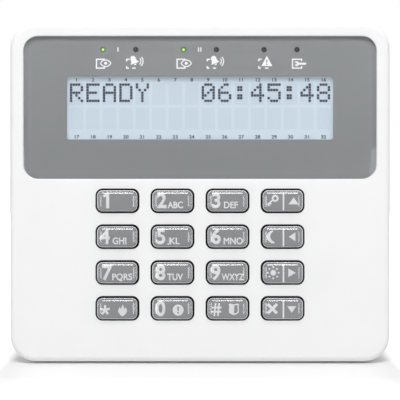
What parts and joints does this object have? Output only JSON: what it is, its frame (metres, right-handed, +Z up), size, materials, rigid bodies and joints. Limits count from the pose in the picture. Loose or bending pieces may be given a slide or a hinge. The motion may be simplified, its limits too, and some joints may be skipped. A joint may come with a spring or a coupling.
{
  "type": "alarm keypad panel",
  "caption": "Wall-mounted alarm keypad with a character display, status LEDs, push keys and a hinged front cover on a screw-fixed base.",
  "frame": {"origin": "centre of the base's flat back face, on the wall plane", "axes": "+X to the right seen from the front, +Y into the wall, +Z up; the keys face -Y"},
  "size_m": [0.139, 0.022, 0.124],
  "materials": {
    "case_plastic": "satin white ABS moulding",
    "clear_window": "clear polished acrylic",
    "grey_print": "grey screen-printed film",
    "white_moulding": "white moulding",
    "display_glass": "backlit pale blue liquid crystal glass",
    "light_guide": "frosted light guide",
    "conductive_rubber": "layered conductive rubber",
    "black_moulding": "black moulding",
    "circuit_board": "green solder resist",
    "screw_steel": "zinc plated steel",
    "silicone": "translucent grey silicone",
    "led_lens": "diffused LED lens, unlit",
    "led_lit": "green LED, lit",
    "terminal_plastic": "green terminal housing",
    "chip_resin": "black moulding compound",
    "capacitor_can": "bright aluminium can",
    "contact_brass": "gold plated pin",
    "key_clear": "clear glossy cap over a grey print"
  },
  "bodies": {
    "base": {"rear_base": "case_plastic", "snap_latches": "case_plastic"},
    "cover": {"front_cover": "case_plastic", "display_window": "clear_window", "window_film": "grey_print", "lcd_frame": "white_moulding", "lcd_glass": "display_glass", "lcd_backlight": "light_guide", "lcd_contact_strip": "conductive_rubber", "led_housing": "black_moulding", "led_armed_1": "led_lit", "led_alarm_1": "led_lens", "led_armed_2": "led_lit", "led_alarm_2": "led_lens", "led_trouble": "led_lens", "led_service": "led_lens", "main_board": "circuit_board", "board_screws": "screw_steel", "keypad_mat": "silicone", "key_backlight_leds": "led_lens", "terminal_block": "terminal_plastic", "terminal_screws": "screw_steel", "buzzer": "black_moulding", "processor": "chip_resin", "driver_chips": "chip_resin", "chip_parts": "chip_resin", "capacitors": "capacitor_can", "service_header": "black_moulding", "service_header_pins": "contact_brass", "tamper_switch": "black_moulding"},
    "key_1": {"key_1": "key_clear"},
    "key_2": {"key_2": "key_clear"},
    "key_3": {"key_3": "key_clear"},
    "key_up": {"key_up": "key_clear"},
    "key_4": {"key_4": "key_clear"},
    "key_5": {"key_5": "key_clear"},
    "key_6": {"key_6": "key_clear"},
    "key_left": {"key_left": "key_clear"},
    "key_7": {"key_7": "key_clear"},
    "key_8": {"key_8": "key_clear"},
    "key_9": {"key_9": "key_clear"},
    "key_right": {"key_right": "key_clear"},
    "key_star": {"key_star": "key_clear"},
    "key_0": {"key_0": "key_clear"},
    "key_hash": {"key_hash": "key_clear"},
    "key_down": {"key_down": "key_clear"},
    "tamper_plunger": {"tamper_plunger": "white_moulding"}
  },
  "joints": [
    {"name": "cover_hinge", "type": "hinge", "parent": "base", "child": "cover", "pos_m": [0, -0.0045, 0.061], "axis": [-1, 0, 0], "range_deg": [0, 60], "deforming": ["snap_latches"]},
    {"name": "key_1_press", "type": "slide", "parent": "cover", "child": "key_1", "axis": [0, 1, 0], "range_m": [0, 0.0012], "stiffness_N_per_m": 800, "springref_m": -0.0003, "deforming": ["keypad_mat"]},
    {"name": "key_2_press", "type": "slide", "parent": "cover", "child": "key_2", "axis": [0, 1, 0], "range_m": [0, 0.0012], "stiffness_N_per_m": 800, "springref_m": -0.0003, "deforming": ["keypad_mat"]},
    {"name": "key_3_press", "type": "slide", "parent": "cover", "child": "key_3", "axis": [0, 1, 0], "range_m": [0, 0.0012], "stiffness_N_per_m": 800, "springref_m": -0.0003, "deforming": ["keypad_mat"]},
    {"name": "key_up_press", "type": "slide", "parent": "cover", "child": "key_up", "axis": [0, 1, 0], "range_m": [0, 0.0012], "stiffness_N_per_m": 800, "springref_m": -0.0003, "deforming": ["keypad_mat"]},
    {"name": "key_4_press", "type": "slide", "parent": "cover", "child": "key_4", "axis": [0, 1, 0], "range_m": [0, 0.0012], "stiffness_N_per_m": 800, "springref_m": -0.0003, "deforming": ["keypad_mat"]},
    {"name": "key_5_press", "type": "slide", "parent": "cover", "child": "key_5", "axis": [0, 1, 0], "range_m": [0, 0.0012], "stiffness_N_per_m": 800, "springref_m": -0.0003, "deforming": ["keypad_mat"]},
    {"name": "key_6_press", "type": "slide", "parent": "cover", "child": "key_6", "axis": [0, 1, 0], "range_m": [0, 0.0012], "stiffness_N_per_m": 800, "springref_m": -0.0003, "deforming": ["keypad_mat"]},
    {"name": "key_left_press", "type": "slide", "parent": "cover", "child": "key_left", "axis": [0, 1, 0], "range_m": [0, 0.0012], "stiffness_N_per_m": 800, "springref_m": -0.0003, "deforming": ["keypad_mat"]},
    {"name": "key_7_press", "type": "slide", "parent": "cover", "child": "key_7", "axis": [0, 1, 0], "range_m": [0, 0.0012], "stiffness_N_per_m": 800, "springref_m": -0.0003, "deforming": ["keypad_mat"]},
    {"name": "key_8_press", "type": "slide", "parent": "cover", "child": "key_8", "axis": [0, 1, 0], "range_m": [0, 0.0012], "stiffness_N_per_m": 800, "springref_m": -0.0003, "deforming": ["keypad_mat"]},
    {"name": "key_9_press", "type": "slide", "parent": "cover", "child": "key_9", "axis": [0, 1, 0], "range_m": [0, 0.0012], "stiffness_N_per_m": 800, "springref_m": -0.0003, "deforming": ["keypad_mat"]},
    {"name": "key_right_press", "type": "slide", "parent": "cover", "child": "key_right", "axis": [0, 1, 0], "range_m": [0, 0.0012], "stiffness_N_per_m": 800, "springref_m": -0.0003, "deforming": ["keypad_mat"]},
    {"name": "key_star_press", "type": "slide", "parent": "cover", "child": "key_star", "axis": [0, 1, 0], "range_m": [0, 0.0012], "stiffness_N_per_m": 800, "springref_m": -0.0003, "deforming": ["keypad_mat"]},
    {"name": "key_0_press", "type": "slide", "parent": "cover", "child": "key_0", "axis": [0, 1, 0], "range_m": [0, 0.0012], "stiffness_N_per_m": 800, "springref_m": -0.0003, "deforming": ["keypad_mat"]},
    {"name": "key_hash_press", "type": "slide", "parent": "cover", "child": "key_hash", "axis": [0, 1, 0], "range_m": [0, 0.0012], "stiffness_N_per_m": 800, "springref_m": -0.0003, "deforming": ["keypad_mat"]},
    {"name": "key_down_press", "type": "slide", "parent": "cover", "child": "key_down", "axis": [0, 1, 0], "range_m": [0, 0.0012], "stiffness_N_per_m": 800, "springref_m": -0.0003, "deforming": ["keypad_mat"]},
    {"name": "tamper_release", "type": "slide", "parent": "cover", "child": "tamper_plunger", "axis": [0, 1, 0], "range_m": [0, 0.0015]}
  ],
  "couplings": [
    {"joint": "tamper_release", "follows": "cover_hinge", "m_per_rad": 0.0014}
  ]
}
